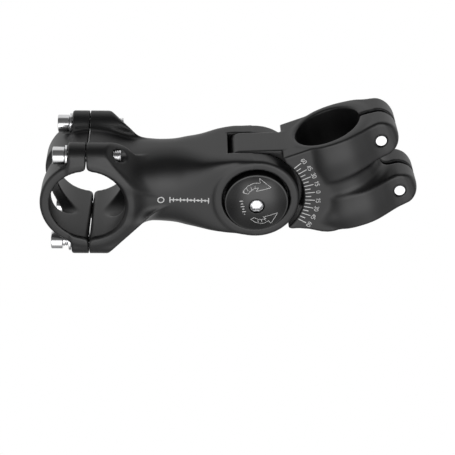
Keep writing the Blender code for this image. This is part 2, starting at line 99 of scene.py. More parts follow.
# Steerer clamp, in the row frame. A row of EAR_PLAN is the distance behind the steerer's axis and
# the half width there; the ears lean a little to the far side near LEAN_AT.
PIVOT_X, PIVOT_Z = PIVOT.x / MM, PIVOT.z / MM
CLAMP_HEIGHT = 42.0
STEERER_RADIUS, BACK_SLOT_HALF, BACK_SLOT_START = 14.3, 1.25, 8
BARREL_SIDE, SIDE_SPREAD = 16.2, 6.5
UPPER_BULGE, LOWER_BULGE = (33, 1.6), (7, 1.8)
FRONT_BULGE, FRONT_SPREAD = (7, 9.5), 6
EAR_BOLTS = {"upper": (20.1, 33.2), "lower": (20.3, 7.6)}
UPPER_EAR_RISE, EAR_REACH = 8.5, 7.6
EAR_START = -14
EAR_PLAN = ((EAR_START, 8.0), (-6, 15.3), (0, 16.8), (8, 17.0), (13.5, 15.5), (17.8, 13.3),
            (20.3, 12.4), (24.6, 11.7), (27, 10.6), (28.6, 8.5))
LEAN, LEAN_AT, LEAN_SPREAD = 0.7, 13, 5
PLATEAU_Y, TONGUE_HALF = 15.3, 8.5
SHOULDER_RADIUS, SHOULDER_FRONT, SHOULDER_END_DEG = 20.3, -20.3, -67
SHOULDER_FOOT = ((-29.2, 8.6), (-28.2, 7.9), (-25.6, 7.1), (-21.5, 5.1), (-16.8, 1.9), (-14.4, 0.8),
                 (-11.5, 0))
TONGUE_RADIUS, TONGUE_NOSE_RADIUS = 13.6, 4.6
SEAT_Y, TIP_Y = 11.5, 12.1

# Openings round the pivot
LOCK_RING_RADIUS, LOCK_RING_DEPTH = 12.3, 10.9
RECESS_RADIUS, RECESS_FLOOR = 14.3, 12.6
PIVOT_HOLE, BUSH_HOLE = 4.3, 6.3

# Fasteners
M5_PITCH, M5_RADIUS, M5_CORE = 0.8, 2.5, 2.05
M8_PITCH, M8_RADIUS, M8_CORE = 1.25, 4.0, 3.35
SCREW_HOLE, FACE_SCREW_HOLE, SEAT_RADIUS = 2.6, 2.8, 4.8
SOCKET_HALF, SOCKET_DEPTH = 2.0, 2.5
THREAD_STEP = 0.1
HEAD_RADIUS, HEAD_LENGTH = 3.7, 4.9
WASHER, WASHER_RADIUS, CLEARANCE = 0.9, 4.4, 0.3
LOWER_SCREWS_OUT = 2.3
BAR_SCREW_LENGTH = 23.3
CAP_RADIUS, CAP_RIM, CAP_TOP = 13.3, 19.4, 22.7
CAP_WALL, CAP_SKIRT, KEY_HOLE = 0.9, 12.9, 3.3
DOME_RADIUS = 12.75
PIVOT_SHOULDER, PIVOT_HUB, HUB_RADIUS = 20.1, 22.0, 2.95

# Printed marks
STROKE_STEP, STROKE_RAISED, STROKE_SUNK = 0.4, 0.02, 0.05
TICK_START, LONG_TICK, SHORT_TICK = 20.9, 24.9, 23.3
NUMBER_RADIUS, NUMBER_SIZE, NUMBER_ADVANCE, NUMBER_GAP = 26.35, 1.75, 0.74, 0.14

# Studio light: the front panel's level at each height of direction, its centre to the right,
# the share that is left at its sides, and the level behind
FRONT_PANEL = ((-1.0, 0.08), (-0.92, 0.12), (-0.7, 0.3), (-0.5, 0.46), (-0.25, 0.9), (0.15, 1.0),
               (0.35, 0.35), (0.55, 0.05), (1.0, 0.04))
PANEL_CENTRE, PANEL_SIDES = 0.08, 0.25
PANEL_FLAT, PANEL_EDGE = 0.3, 0.65
PANEL_STRENGTH = 2.9
REAR_LEVEL = 0.8
REAR_END, FRONT_START = -0.45, -0.05

# Camera: its turn in degrees, and its place from the bar's centre along its own axes
CAMERA_PITCH, CAMERA_YAW, CAMERA_ROLL = 31.29, 1.87, 1.29
CAMERA_RIGHT, CAMERA_DOWN, CAMERA_BACK = 59.22, 19.77, 634.15
LENS, SENSOR_WIDTH = 116.5, 36
FLOOR_REACH, FLOOR_DROP = 6, 0.05


# ---------------------------------------------------------------- distance fields
def smooth_min(a, b, width):
    """Union of two fields, with a fillet about `width` across."""
    share = np.clip(0.5 + 0.5 * (b - a) / width, 0, 1)
    return b + (a - b) * share - width * share * (1 - share)


def smooth_max(a, b, width):
    return -smooth_min(-a, -b, width)


def carve(solid, tool, edge):
    """Cut `tool` away from `solid`, leaving an edge rounded over about `edge`."""
    return smooth_max(solid, -tool, edge)


def extrude(section, along, low, high, edge):
    """Stretch a plan field between two stations, with its ends rounded."""
    side = section + edge
    end = np.maximum(low - along, along - high) + edge
    return np.minimum(np.maximum(side, end), 0) + np.hypot(np.maximum(side, 0), np.maximum(end, 0)) - edge


def outline_field(points, u, v):
    """Signed distance to a closed outline, negative inside it."""
    nearest = np.full(np.broadcast(u, v).shape, np.inf)
    inside = np.zeros(nearest.shape, bool)
    for (u0, v0), (u1, v1) in zip(points, points[1:] + points[:1]):
        du, dv = u1 - u0, v1 - v0
        share = np.clip(((u - u0) * du + (v - v0) * dv) / (du * du + dv * dv), 0, 1)
        nearest = np.minimum(nearest, np.hypot(u - u0 - share * du, v - v0 - share * dv))
        if dv:
            inside ^= ((v0 <= v) != (v1 <= v)) & (u < u0 + (v - v0) * du / dv)
    return np.where(inside, -nearest, nearest)


def arc(centre, radius, start_deg, end_deg, steps):
    points = []
    for step in range(steps + 1):
        angle = math.radians(start_deg + (end_deg - start_deg) * step / steps)
        points.append((centre[0] + radius * math.cos(angle), centre[1] + radius * math.sin(angle)))
    return points


def bulge(at, centre, rise, spread):
    """A smooth swelling of height `rise` about a centre."""
    return rise * np.exp(-((at - centre) / spread) ** 2)


def through(at, knots, values):
    """A smooth curve through the given values, flat beyond its ends."""
    slopes = np.gradient(values, knots)
    at = np.clip(at, knots[0], knots[-1])
    index = np.clip(np.searchsorted(knots, at) - 1, 0, len(knots) - 2)
    span = knots[index + 1] - knots[index]
    t = (at - knots[index]) / span
    rise = values[index + 1] - values[index]
    return (values[index] + rise * t * t * (3 - 2 * t)
            + span * t * (1 - t) * (slopes[index] * (1 - t) - slopes[index + 1] * t))


# ---------------------------------------------------------------- meshing
CORNERS = np.array([(i, j, k) for i in (0, 1) for j in (0, 1) for k in (0, 1)])
CELL_EDGES = [(a, b) for a in range(8) for b in range(a + 1, 8)
              if np.abs(CORNERS[a] - CORNERS[b]).sum() == 1]


def cell_points(values, cells):
    """One point in each cell the surface passes through: the mean of its edge crossings."""
    total = np.zeros((len(cells), 3))
    count = np.zeros(len(cells))
    for a, b in CELL_EDGES:
        value_a = values[tuple((cells + CORNERS[a]).T)]
        value_b = values[tuple((cells + CORNERS[b]).T)]
        crossed = (value_a < 0) != (value_b < 0)
        share = np.where(crossed, value_a / np.where(crossed, value_a - value_b, 1), 0)
        point = CORNERS[a] + share[:, None] * (CORNERS[b] - CORNERS[a])
        total += point * crossed[:, None]
        count += crossed
    return cells + total / count[:, None]


def cell_quads(inside, index):
    """Four cells round every grid edge that the surface crosses, wound to face outwards."""
    quads = []
    for axis in range(3):
        u, v = (axis + 1) % 3, (axis + 2) % 3
        low = [slice(None)] * 3
        high = [slice(None)] * 3
        low[axis], high[axis] = slice(None, -1), slice(1, None)
        start, end = inside[tuple(low)], inside[tuple(high)]
        places = np.argwhere(start != end)
        places = places[(places[:, u] > 0) & (places[:, v] > 0)]
        around = []
        for du, dv in ((-1, -1), (0, -1), (0, 0), (-1, 0)):
            cell = places.copy()
            cell[:, u] += du
            cell[:, v] += dv
            around.append(index[tuple(cell.T)])
        around = np.stack(around, 1)
        outward = start[tuple(places.T)]
        quads.append(np.where(outward[:, None], around, around[:, ::-1]))
    return np.concatenate(quads)


def slope(field, points, value):
    """The field's gradient at each point."""
    probe = 0.02
    return np.stack([(field(*(points + offset).T) - value) / probe for offset in np.eye(3) * probe], 1)


def settle(field, points, step):
    """Move the points on to the surface itself."""
    for _ in range(4):
        value = field(*points.T)
        gradient = slope(field, points, value)
        move = gradient * (value / np.maximum((gradient ** 2).sum(1), 0.05))[:, None]
        length = np.linalg.norm(move, axis=1, keepdims=True)
        points = points - move * np.minimum(1, 0.4 * step / np.maximum(length, 1e-9))
    return points


def add_mesh(name, points, faces, placing, material):
    mesh = bpy.data.meshes.new(name)
    mesh.from_pydata(points, [], faces)
    mesh.transform(placing)
    mesh.shade_smooth()
    mesh.materials.append(material)
    obj = bpy.data.objects.new(name, mesh)
    bpy.context.scene.collection.objects.link(obj)
    return obj


def cast(name, field, low, high, step, placing, material):
    """Mesh a distance field over a box."""
    axes = [np.arange(a - 2 * step, b + 3 * step, step) for a, b in zip(low, high)]
    x, y, z = np.meshgrid(*axes, indexing="ij", sparse=True)
    values = np.ascontiguousarray(np.broadcast_to(field(x, y, z), [len(a) for a in axes]))
    inside = values < 0
    corners = [inside[i:inside.shape[0] - 1 + i, j:inside.shape[1] - 1 + j, k:inside.shape[2] - 1 + k]
               for i, j, k in CORNERS]
    mixed = np.logical_or.reduce(corners) & ~np.logical_and.reduce(corners)
    cells = np.argwhere(mixed)
    index = np.full(mixed.shape, -1, np.int64)
    index[tuple(cells.T)] = np.arange(len(cells))
    points = cell_points(values, cells) * step + [a[0] for a in axes]
    points = settle(field, points, step)
    quads = cell_quads(inside, index)
    return add_mesh(name, points.tolist(), quads.tolist(), placing, material)


# ---------------------------------------------------------------- stem body
def neck_field(along, y, z):
    """The forged neck: a squarish section that swells towards the ears."""
    stations = NECK[:, 0]
    width, above, below, power = (through(along, stations, column) for column in NECK[:, 1:].T)
    height = np.where(z > 0, above, below)
    u = np.maximum(np.abs(y), 0.01) / width
    v = np.maximum(np.abs(z), 0.01) / height
    total = (u ** power + v ** power) ** (1 / power)
    rate = np.hypot((u / total) ** (power - 1) / width, (v / total) ** (power - 1) / height)
    return np.maximum((total - 1) / rate, np.maximum(stations[0] - along, along - stations[-1]))


def boss_section(y, height):
    """Plan of the four bolt bosses with their webs, by symmetry."""
    beyond = np.maximum(np.maximum(height - BOLT_Z, BOSS_ROOT - height), 0)
    return np.hypot(y - BOLT_Y, beyond) - BOSS_RADIUS


def bar_opening(along, y, height, split):
    """Handlebar bore with flared ends, joined to the split by a rounded flare."""
    flare = np.maximum(np.abs(y) - CLAMP_HALF + 0.3, 0)
    bore = np.hypot(along, height) - BAR_RADIUS - flare
    return smooth_min(bore, split, 2.4)


def pivot_openings(x, y, z):
    """Tongue slot, lock ring pockets, cap recesses and bolt hole of the two ears."""
    across = np.abs(y)
    reach = np.hypot(x, z)
    slot = np.maximum(across - SLOT_HALF, np.minimum(reach - SLOT_RADIUS, SLOT_FRONT - x))
    pocket = extrude(reach - LOCK_RING_RADIUS, across, -1, LOCK_RING_DEPTH, 0.1)
    recess = extrude(reach - RECESS_RADIUS, across, RECESS_FLOOR, 40, 0.2)
    return slot, np.minimum(np.minimum(pocket, recess), reach - PIVOT_HOLE)


def body_bosses(along, y, z):
    """The stem body's half of the four bolt bosses, cut back by a facet and a slope behind."""
    across, height = np.abs(y), np.abs(z - BAR_Z)
    outward, onward = np.where(z > BAR_Z, 0.5, 0.31), np.where(z > BAR_Z, 0.5, 0.66)
    facet = 0.68 * (along - FACET_START) + outward * (across - BOLT_Y) + onward * (height - BOLT_Z)
    top_slope = 0.55 * (along - SLOPE_START) + 0.83 * (height - BOLT_Z - BOSS_RADIUS)
    return smooth_max(boss_section(across, height), smooth_max(facet, top_slope, 0.8), 0.5)


def neck_hollow(along, y, z):
    """The pocket behind the bar, which narrows into the neck."""
    radius = np.interp(along, POCKET_STATIONS, POCKET_RADII)
    return smooth_max(np.hypot(y, z - BAR_Z) - radius, along - POCKET_END, 3.0)


def stem_body_field(x, y, z):
    along, height = x - BAR_X, np.abs(z - BAR_Z)
    body = neck_field(along, y, z)
    ears = extrude(np.hypot(x, z) - EAR_RADIUS, y, -EAR_HALF, EAR_HALF, EAR_EDGE)
    body = smooth_min(body, ears, 1.2)
    hoop = extrude(np.hypot(along, height) - CLAMP_RADIUS, y, -CLAMP_HALF, CLAMP_HALF, 1.3)
    body = smooth_min(body, hoop, 6.5)
    body = smooth_min(body, body_bosses(along, y, z), 3.0)
    body = carve(body, neck_hollow(along, y, z), 0.5)
    body = carve(body, bar_opening(along, y, height, along - SPLIT_HALF), 0.35)
    hole = np.maximum(np.hypot(np.abs(y) - BOLT_Y, height - BOLT_Z) - SCREW_HOLE, along - 30)
    slot, openings = pivot_openings(x, y, z)
    body = carve(body, slot, 0.6)
    return carve(body, np.minimum(hole, openings), 0.3)


def faceplate_field(x, y, z):
    along, height = x - BAR_X, np.abs(z - BAR_Z)
    across = np.abs(y)
    hoop = extrude(np.hypot(along, height) - CLAMP_RADIUS, y, -CLAMP_HALF, CLAMP_HALF, 1.2)
    boss = extrude(boss_section(across, height), along, -FACE_BOSS, 6, 1.0)
    body = smooth_min(hoop, boss, 2.0)
    window = (np.hypot(y / WINDOW_HALF_WIDTH, height / WINDOW_HALF_HEIGHT) - 1) * 11
    body = carve(body, np.maximum(window, along + 1), 1.0)
    body = carve(body, bar_opening(along, y, height, -along - SPLIT_HALF), 0.35)
    bolt = np.hypot(across - BOLT_Y, height - BOLT_Z)
    seat = extrude(bolt - SEAT_RADIUS, along, -30, -FACE_BOSS, 0.1)
    return carve(body, np.minimum(seat, bolt - FACE_SCREW_HOLE), 0.3)


# ---------------------------------------------------------------- steerer clamp
def shoulder_outline():
    """Side outline of the block that carries the angle scale, hollowed round the arm's ears."""
    top_deg = math.degrees(math.acos((SHOULDER_FRONT - PIVOT_X) / SHOULDER_RADIUS))
    points = [(0, 0), (0, CLAMP_HEIGHT), (SHOULDER_FRONT, CLAMP_HEIGHT)]
    points += arc((PIVOT_X, PIVOT_Z), SHOULDER_RADIUS, top_deg, SHOULDER_END_DEG, 28)
    return points + list(SHOULDER_FOOT)


def tongue_outline():
    """Side outline of the tongue between the arm's ears, with a rounded nose above the pivot."""
    nose = (PIVOT_X - 0.9, PIVOT_Z + 15.5)
    points = [(-16.3, 40.5), (SHOULDER_FRONT, CLAMP_HEIGHT)]
    points += arc(nose, TONGUE_NOSE_RADIUS, 71, 161, 10)
    points += arc((PIVOT_X, PIVOT_Z), TONGUE_RADIUS, 114, 270, 24)
    return points + [(-19.0, 14.4), (-12.0, 14.4), (-12.0, 38.0)]


def barrel(x, y, z):
    """The clamp's round body: two bulges at the sides, and a fuller front low down."""
    side = BARREL_SIDE + (bulge(z, *UPPER_BULGE, SIDE_SPREAD) + bulge(z, *LOWER_BULGE, SIDE_SPREAD))
    front = side + bulge(z, *FRONT_BULGE, FRONT_SPREAD)
    oval = (np.hypot(x / np.where(x < 0, front, side), y / side) - 1) * side
    return extrude(oval, z, 0, CLAMP_HEIGHT, 0.8)


def with_ears(body, x, y, z):
    """Add the two pairs of screw ears behind the steerer."""
    stations, widths = np.array(EAR_PLAN).T
    plan = np.abs(y - bulge(x, LEAN_AT, LEAN, LEAN_SPREAD)) - through(x, stations, widths)
    for label, (bolt_x, bolt_z) in EAR_BOLTS.items():
        rise = UPPER_EAR_RISE if label == "upper" else EAR_REACH
        level = (z - bolt_z) * np.where(z > bolt_z, EAR_REACH / rise, 1)
        ear = np.hypot(np.maximum(x - bolt_x, 0), level) - EAR_REACH
        ear = smooth_max(np.maximum(ear, EAR_START - x), plan, 1.4)
        body = smooth_min(body, ear, 4.0)
    return body


def clamp_holes(x, y, z):
    """The hole for the pivot's bush, and the screw holes with the seats of their washers."""
    holes = np.hypot(x - PIVOT_X, z - PIVOT_Z) - BUSH_HOLE
    for bolt_x, bolt_z in EAR_BOLTS.values():
        hole = np.hypot(x - bolt_x, z - bolt_z)
        seat = extrude(hole - SEAT_RADIUS, y, SEAT_Y, 30, 0.1)
        holes = np.minimum(holes, np.minimum(hole - SCREW_HOLE, seat))
    return holes


def steerer_clamp_field(x, y, z):
    body = with_ears(barrel(x, y, z), x, y, z)
    shoulders = extrude(outline_field(shoulder_outline(), x, z), y, -PLATEAU_Y, PLATEAU_Y, 0.7)
    body = smooth_min(body, shoulders, 0.8)
    body = smooth_max(smooth_max(body, z - CLAMP_HEIGHT, 0.6), -z, 0.8)
    tongue = extrude(outline_field(tongue_outline(), x, z), y, -TONGUE_HALF, TONGUE_HALF, 0.6)
    body = smooth_min(body, tongue, 0.8)
    bevel = np.maximum(np.maximum(z - CLAMP_HEIGHT, -z) + 0.5, 0)
    bore = np.hypot(x, y) - STEERER_RADIUS - bevel
    slot = np.maximum(np.abs(y) - BACK_SLOT_HALF, BACK_SLOT_START - x)
    body = carve(body, smooth_min(bore, slot, 1.0), 0.5)
    lock_ring = np.hypot(x - PIVOT_X, z - PIVOT_Z) - LOCK_RING_RADIUS
    body = carve(body, extrude(lock_ring, np.abs(y), 6.5, 12, 0.1), 0.3)
    return carve(body, clamp_holes(x, y, z), 0.35)


# ---------------------------------------------------------------- turned pieces
def frame_about(axis):
    """Two directions square to an axis, to draw rings in."""
    first = Z_AXIS if abs(axis.z) < 0.5 else X_AXIS
    first = (first - axis * first.dot(axis)).normalized()
    return first, axis.cross(first)


def ring(base, axis, along, radius, count, flats=0):
    """Points round a circle, a polygon, or any radius given as a function of the angle."""
    first, second = frame_about(axis)
    sector = math.tau / flats if flats else 0
    points = []
    for step in range(count):
        angle = math.tau * step / count
        reach = radius(angle) if callable(radius) else radius
        if flats:
            reach /= math.cos((angle + sector / 2) % sector - sector / 2)
        point = base + axis * along + first * (reach * math.cos(angle))
        points.append(point + second * (reach * math.sin(angle)))
    return points


def soften(profile, edge):
    """Round the corners of a profile of (radius, distance along) points."""
    corners = [Vector(point) for point in profile]
    soft = [corners[0]]
    for before, corner, after in zip(corners, corners[1:], corners[2:]):
        start = corner + (before - corner).normalized() * min(edge, (before - corner).length / 2)
        end = corner + (after - corner).normalized() * min(edge, (after - corner).length / 2)
        for t in (0, 0.25, 0.5, 0.75, 1):
            soft.append(start * (1 - t) ** 2 + corner * (2 * t * (1 - t)) + end * t * t)
    return soft + [corners[-1]]


def skin(name, rings, placing, material, closed=False, sharp_deg=40):
    """A surface over rings of equal count; its ends are capped unless the rings close up."""
    count = len(rings[0])
    points = [point for row in rings for point in row]
    pairs = [(i, i + 1) for i in range(len(rings) - 1)]
    faces = []
    if closed:
        pairs.append((len(rings) - 1, 0))
    else:
        faces = [list(range(count))[::-1], [(len(rings) - 1) * count + i for i in range(count)]]
    for low, high in pairs:
        for i in range(count):
            j = (i + 1) % count
            faces.append((low * count + i, low * count + j, high * count + j, high * count + i))
    obj = add_mesh(name, points, faces, placing, material)
    obj.data.set_sharp_from_angle(angle=math.radians(sharp_deg))
    return obj


def turned(name, base, axis, profile, placing, material, edge=0.15, count=64, closed=True):
    rings = [ring(base, axis, along, radius, count) for radius, along in soften(profile, edge)]
    return skin(name, rings, placing, material, closed)


def thread_radius(along, pitch, core, outer):
    """Radius of a right-hand thread at a station, as a function of the angle."""
    def reach(angle):
        share = (along / pitch + angle / math.tau) % 1
        return core + (outer - core) * min(1, 1.35 * (1 - abs(2 * share - 1)))
    return reach


def cap_screw(name, top, axis, length, placing, material):
    """Socket head cap screw: its head's top is at `top` and its thread runs along `axis`."""
    count = 48
    rows = [ring(top, axis, SOCKET_DEPTH, 1.2, count),
            ring(top, axis, SOCKET_DEPTH - 0.2, SOCKET_HALF, count, 6),
            ring(top, axis, 0.2, SOCKET_HALF, count, 6), ring(top, axis, 0.0, 2.45, count)]
    head = ((2.5, 0), (HEAD_RADIUS, 0), (HEAD_RADIUS, HEAD_LENGTH), (M5_RADIUS, HEAD_LENGTH),
            (M5_RADIUS, HEAD_LENGTH + 0.9))
    rows += [ring(top, axis, along, radius, count) for radius, along in soften(head, 0.4)]
    start, end = HEAD_LENGTH + 1.0, HEAD_LENGTH + length - 0.35
    steps = int((end - start) / THREAD_STEP)
    for step in range(steps + 1):
        along = start + (end - start) * step / steps
        rows.append(ring(top, axis, along, thread_radius(along, M5_PITCH, M5_CORE, M5_RADIUS), count))
    rows += [ring(top, axis, end + 0.05, 2.45, count), ring(top, axis, end + 0.35, 2.25, count)]
    return skin(name, rows, placing, material, sharp_deg=50)


def washer(name, base, axis, start, placing, material):
    inner, outer = M5_RADIUS + CLEARANCE, WASHER_RADIUS
    profile = ((inner, start), (outer, start), (outer, start + WASHER), (inner, start + WASHER))
    return turned(name, base, axis, profile, placing, material, 0.12)


def place(piece, body, node):
    """Tie a piece to its moving body, and hide the CAD node it stands for."""
    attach(piece, body)
    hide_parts(node)


def add_bar_fasteners():
    seat = FACE_BOSS + CLEARANCE
    head_seat = seat + WASHER + CLEARANCE
    for level, z in (("upper", BOLT_Z), ("lower", -BOLT_Z)):
        lift = LOWER_SCREWS_OUT if level == "lower" else 0
        for side, y in (("near", -BOLT_Y), ("far", BOLT_Y)):
            label = f"{level}_{side}"
            centre = BAR + Vector((0, y, z))
            piece = washer(f"bar_washer_{label}", centre, -X_AXIS, seat, ARM_TO_ROW, STEEL)
            place(piece, "faceplate", f"bar_clamp_washer_{label}")
            top = centre - X_AXIS * (head_seat + HEAD_LENGTH + lift)
            piece = cap_screw(f"bar_screw_{label}", top, X_AXIS, BAR_SCREW_LENGTH, ARM_TO_ROW, STEEL)
            place(piece, f"bar_bolt_{label}", f"bar_clamp_bolt_{label}")


def add_steerer_fasteners():
    seat = SEAT_Y + CLEARANCE
    head_seat = seat + WASHER + CLEARANCE
    for label, (x, z) in EAR_BOLTS.items():
        centre = Vector((x, 0, z))
        piece = washer(f"ear_washer_{label}", centre, Y_AXIS, seat, ROW_TO_ROW, STEEL)
        place(piece, f"steerer_washer_{label}", f"steerer_washer_{label}")
        top = centre + Y_AXIS * (head_seat + HEAD_LENGTH)
        piece = cap_screw(f"ear_screw_{label}", top, -Y_AXIS, head_seat + TIP_Y, ROW_TO_ROW, STEEL)
        place(piece, f"steerer_bolt_{label}", f"steerer_bolt_{label}")


def dome_height(radius):
    """How far the cap's outside stands from the arm's middle, at a radius from the pivot."""
    rise = CAP_TOP - CAP_RIM
    sphere = (DOME_RADIUS ** 2 + rise ** 2) / (2 * rise)
    return CAP_TOP - sphere + math.sqrt(sphere ** 2 - radius ** 2)


def dome_cap(name, axis, hole):
    """The pressed cap over one end of the pivot, open at `hole`, or whole if that is 0."""
    inner = CAP_RADIUS - CAP_WALL
    rim = soften(((inner, CAP_SKIRT), (CAP_RADIUS, CAP_SKIRT), (CAP_RADIUS, CAP_RIM),
                  (DOME_RADIUS, CAP_RIM)), 0.15)
    stations = np.linspace(DOME_RADIUS - 0.1, hole or 0.01, 14)
    outside = [(radius, dome_height(radius)) for radius in stations]
    inside = [(min(radius, inner), along - CAP_WALL) for radius, along in reversed(outside)]
    if hole:
        lip = soften((outside[-2], outside[-1], inside[0], inside[1]), 0.25)
        profile = rim + outside[:-1] + lip[1:-1] + inside[1:]
    else:
        profile = inside + rim + outside
    rows = [ring(ORIGIN, axis, along, radius, 96) for radius, along in profile]
    return skin(name, rows, ARM_TO_ROW, CAP_BLACK, closed=bool(hole))


def pivot_screw():
    """The hollow-headed pivot screw, seen through the near cap's key hole."""
    count, key_half, thread_start = 60, 2.2, -8.0
    rows = [ring(ORIGIN, -Y_AXIS, PIVOT_HUB - 1.5, 1.85, count),
            ring(ORIGIN, -Y_AXIS, PIVOT_HUB - 1.9, 2.0, count),
            ring(ORIGIN, -Y_AXIS, PIVOT_HUB - 1.9, key_half, count, 6),
            ring(ORIGIN, -Y_AXIS, PIVOT_HUB - 0.4, key_half + 0.1, count, 6)]
    head = ((HUB_RADIUS - 0.2, PIVOT_HUB), (HUB_RADIUS, PIVOT_HUB - 0.2), (HUB_RADIUS, PIVOT_SHOULDER),
            (6.5, PIVOT_SHOULDER), (6.5, 14.4), (M8_RADIUS, 14.4), (M8_RADIUS, thread_start))
    rows += [ring(ORIGIN, -Y_AXIS, along, radius, count) for radius, along in soften(head, 0.15)]
    for step in range(101):
        along = thread_start - 0.2 - THREAD_STEP * step
        reach = thread_radius(-along, M8_PITCH, M8_CORE, M8_RADIUS)
        rows.append(ring(ORIGIN, -Y_AXIS, along, reach, count))
    rows += [ring(ORIGIN, -Y_AXIS, -18.4, 3.6, count), ring(ORIGIN, -Y_AXIS, -19.2, 3.0, count)]
    return skin("pivot_screw", rows[::-1], ARM_TO_ROW, STEEL, sharp_deg=50)


def add_pivot():
    place(dome_cap("lock_cap", -Y_AXIS, KEY_HOLE), "arm", "pivot_cap")
    place(dome_cap("nut_cap", Y_AXIS, 0), "arm", "pivot_nut_cap")
    place(pivot_screw(), "pivot_bolt", "pivot_bolt")


# ---------------------------------------------------------------- printed marks
DIGITS = {
    "0": ((0.3, 0), (0.08, 0.12), (0, 0.5), (0.08, 0.88), (0.3, 1), (0.52, 0.88), (0.6, 0.5),
          (0.52, 0.12), (0.3, 0)),
    "1": ((0.12, 0.78), (0.36, 1), (0.36, 0)),
    "3": ((0.02, 0.9), (0.3, 1), (0.56, 0.8), (0.3, 0.54), (0.6, 0.26), (0.3, 0), (0, 0.12)),
    "4": ((0.46, 0), (0.46, 1), (0, 0.3), (0.64, 0.3)),
    "5": ((0.56, 1), (0.1, 1), (0.04, 0.55), (0.34, 0.63), (0.6, 0.33), (0.34, 0), (0, 0.1)),
    "6": ((0.52, 0.95), (0.2, 0.85), (0, 0.35), (0.3, 0), (0.6, 0.3), (0.3, 0.58), (0.03, 0.4)),
}


def polar(radius, degrees):
    angle = math.radians(degrees)
    return Vector((radius * math.cos(angle), radius * math.sin(angle)))


def spaced(points, step):
    """The same line with a point at least every `step`."""
    line = [Vector(points[0])]
    for point in points[1:]:
        gap = Vector(point) - line[-1]
        count = max(1, math.ceil(gap.length / step))
        start = line[-1]
        line += [start + gap * (i + 1) / count for i in range(count)]
    return line


def stroke_sections(stroke, width, tree, placing, toward):
    """Four corners at each point of a stroke, just above and just under the surface it lies on."""
    raised, sunk = toward * STROKE_RAISED * MM, toward * STROKE_SUNK * MM
    line = spaced(stroke, STROKE_STEP)
    sections = []
    for index, spot in enumerate(line):
        ahead = line[min(index + 1, len(line) - 1)] - line[max(index - 1, 0)]
        side = Vector((-ahead.y, ahead.x)).normalized() * width / 2
        left, right = (tree.ray_cast(placing @ Vector((edge.x, -60, edge.y)), toward)[0]
                       for edge in (spot + side, spot - side))
        sections.append((left - raised, right - raised, right + sunk, left + sunk))
    return sections


def stroke_faces(base, count):
    """Ends and sides of a stroke of `count` sections whose corners start at `base`."""
    last = base + 4 * (count - 1)
    faces = [(base, base + 1, base + 2, base + 3), (last + 3, last + 2, last + 1, last)]
    for row in range(count - 1):
        for i in range(4):
            a, b = base + 4 * row + i, base + 4 * row + (i + 1) % 4
            faces.append((b, a, a + 4, b + 4))
    return faces


def printed(name, strokes, width, surface, placing, body):
    """Lay thin raised strokes, drawn in x and z, on the near side of a piece."""
    corners = [vertex.co for vertex in surface.data.vertices]
    tree = BVHTree.FromPolygons(corners, [face.vertices for face in surface.data.polygons])
    toward = (placing.to_3x3() @ Y_AXIS).normalized()
    points, faces = [], []
    for stroke in strokes:
        sections = stroke_sections(stroke, width, tree, placing, toward)
        faces += stroke_faces(len(points), len(sections))
        points += [corner for section in sections for corner in section]
    piece = add_mesh(name, points, faces, Matrix.Identity(4), PRINT)
    piece.data.shade_flat()
    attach(piece, body)


SCALE_CENTRE = Vector((PIVOT_X, PIVOT_Z))
SCALE_ZERO, SCALE_SPACING = 6.9 - math.degrees(ARM_RAISE), 8.97


def tick_strokes():
    """Ticks of the angle scale round the pivot, every second one long."""
    strokes = []
    for tick in range(-8, 9):
        degrees = SCALE_ZERO + tick * SCALE_SPACING / 2
        outer = LONG_TICK if tick % 2 == 0 else SHORT_TICK
        strokes.append([SCALE_CENTRE + polar(TICK_START, degrees), SCALE_CENTRE + polar(outer, degrees)])
    return strokes


def number_strokes():
    """The scale's numbers, which read clockwise with their tops outwards."""
    strokes = []
    for step, text in zip(range(4, -5, -1), ("60", "45", "30", "15", "0", "15", "30", "45", "60")):
        degrees = SCALE_ZERO + step * SCALE_SPACING
        upward, onward = polar(NUMBER_SIZE, degrees), polar(NUMBER_SIZE, degrees - 90)
        middle = SCALE_CENTRE + polar(NUMBER_RADIUS, degrees) - upward / 2
        start = middle - onward * (NUMBER_ADVANCE * len(text) - NUMBER_GAP) / 2
        for index, digit in enumerate(text):
            shift = index * NUMBER_ADVANCE
            strokes.append([start + onward * (shift + u) + upward * v for u, v in DIGITS[digit]])
    return strokes


def arrow_strokes():
    """Two outlined arrows that curve round the key hole, with plain bars inside them."""
    upper = ((-5.9, 6.0), (-5.2, 7.5), (-3.6, 9.1), (-1.5, 10.2), (1.2, 10.3), (0.9, 12.1), (5.85, 8.2),
             (-0.45, 7.0), (0.6, 8.4), (-1.45, 8.0), (-3.0, 6.7), (-3.8, 5.7), (-5.9, 6.0))
    lower = ((-2.2, -6.6), (-0.2, -8.4), (1.6, -9.0), (3.6, -8.9), (5.2, -7.6), (6.4, -9.5), (8.95, -3.8),
             (2.9, -5.3), (4.1, -6.3), (2.1, -6.7), (0.4, -6.4), (-1.0, -5.6), (-2.2, -6.6))
    strokes = [upper, lower]
    strokes += [(polar(7.9, angle), polar(9.1, angle)) for angle in (131, 119, 107, 96)]
    strokes += [(polar(7.1, angle), polar(8.4, angle)) for angle in (-84, -73, -62)]
    return strokes


def setting_strokes():
    """A short row of bars beside the key hole."""
    start, end = Vector((-6.5, 2.2)), Vector((-4.95, -4.0))
    across = Vector((0.72, 0.18))
    return [(start.lerp(end, share) - across * size, start.lerp(end, share) + across * size)
            for share, size in ((0, 1), (0.2, 0.6), (0.4, 1), (0.6, 0.6), (0.8, 1), (1, 0.3))]


